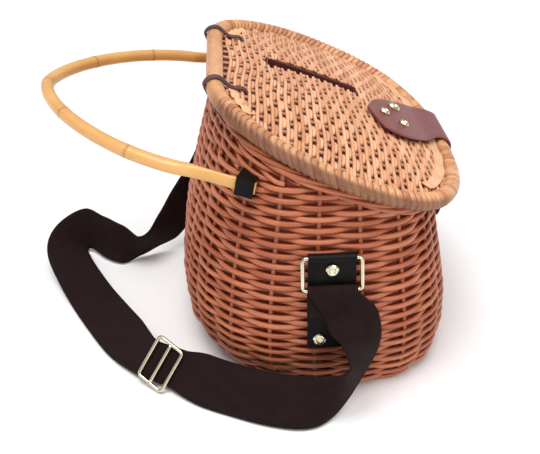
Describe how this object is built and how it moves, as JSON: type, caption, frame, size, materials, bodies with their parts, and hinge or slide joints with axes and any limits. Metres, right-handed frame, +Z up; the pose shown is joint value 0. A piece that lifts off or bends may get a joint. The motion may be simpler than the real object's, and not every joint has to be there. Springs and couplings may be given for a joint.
{
  "type": "fishing creel bag",
  "caption": "Wicker fishing creel with a hinged sloping lid that has a fish slot, a leather latch, a bent cane handle, side tabs with wire rings and a webbing shoulder strap with a slide.",
  "frame": {"origin": "middle of the flat underside of the basket", "axes": "+Z up, -Y towards the latch at the front, X across the basket; the near side with the pictured tab is -X"},
  "size_m": [0.3822, 0.3852, 0.2446],
  "materials": {
    "wicker": "varnished woven willow, honey orange with dark gaps",
    "lid_wicker": "varnished woven willow, lighter peach straw",
    "rattan": "varnished willow rod",
    "cane": "varnished bent cane, satin",
    "leather_brown": "maroon brown, worn satin",
    "leather_black": "near black, satin",
    "webbing": "dark brown ribbed webbing, matte",
    "cord": "dark waxed cord",
    "metal": "pale gold plated wire, polished"
  },
  "bodies": {
    "basket": {"basket_wall": "wicker", "basket_border": "rattan", "handle_hoop": "cane", "latch_socket": "metal", "shoulder_strap": "webbing", "slide_buckle": "metal", "near_hinge_tie": "cord", "near_handle_lashing": "leather_brown", "near_side_tab": "leather_black", "near_strap_ring": "metal", "near_rivet_top": "metal", "near_rivet_back": "metal", "near_rivet_front": "metal", "far_hinge_tie": "cord", "far_handle_lashing": "leather_brown", "far_side_tab": "leather_black", "far_strap_ring": "metal", "far_rivet_top": "metal", "far_rivet_back": "metal", "far_rivet_front": "metal"},
    "lid": {"lid_rim": "rattan", "lid_panel": "lid_wicker", "slot_trim": "leather_brown", "latch_strap": "leather_brown", "latch_cap": "metal", "latch_stud_tip": "metal", "latch_stud_far": "metal", "latch_stud_near": "metal", "near_hinge_tail": "cord", "far_hinge_tail": "cord"}
  },
  "joints": [
    {"name": "lid_hinge", "type": "hinge", "parent": "basket", "child": "lid", "pos_m": [0, 0.0915, 0.2344], "axis": [-1, 0, 0], "range_deg": [0, 125]}
  ]
}
